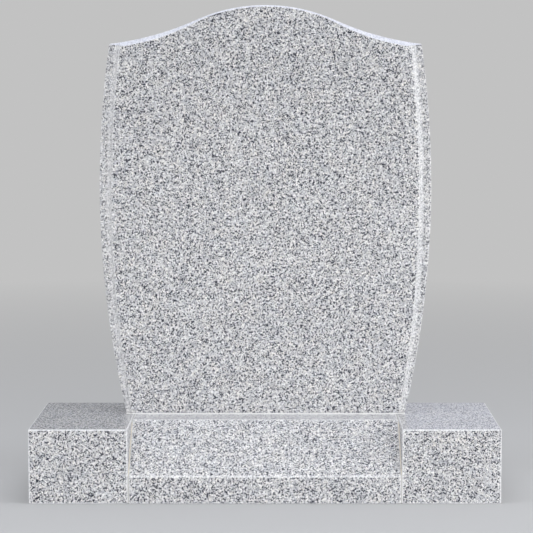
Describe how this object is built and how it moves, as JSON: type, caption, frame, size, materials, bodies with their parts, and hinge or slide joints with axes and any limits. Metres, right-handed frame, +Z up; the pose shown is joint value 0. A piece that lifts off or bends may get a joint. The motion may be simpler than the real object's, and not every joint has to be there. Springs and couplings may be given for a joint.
{
  "type": "ogee-topped granite headstone on a three-stone base",
  "caption": "Free-standing memorial: a bow-sided granite tablet with an ogee top and moulded sides, set on a base with a sloping centre between end blocks.",
  "frame": {"origin": "on the ground under the middle of the base", "axes": "+Z up; +X towards the right-hand end as seen from the front; the polished face looks along -Y"},
  "size_m": [0.848, 0.305, 0.895],
  "materials": {
    "polished_granite": "polished",
    "base_granite": "polished",
    "setting_mortar": "matte",
    "joint_resin": "satin"
  },
  "bodies": {
    "root": {"headstone": "polished_granite", "tablet_bed": "setting_mortar", "base_centre_stone": "base_granite", "base_left_block": "base_granite", "base_right_block": "base_granite", "left_resin_joint": "joint_resin", "right_resin_joint": "joint_resin"}
  },
  "joints": []
}
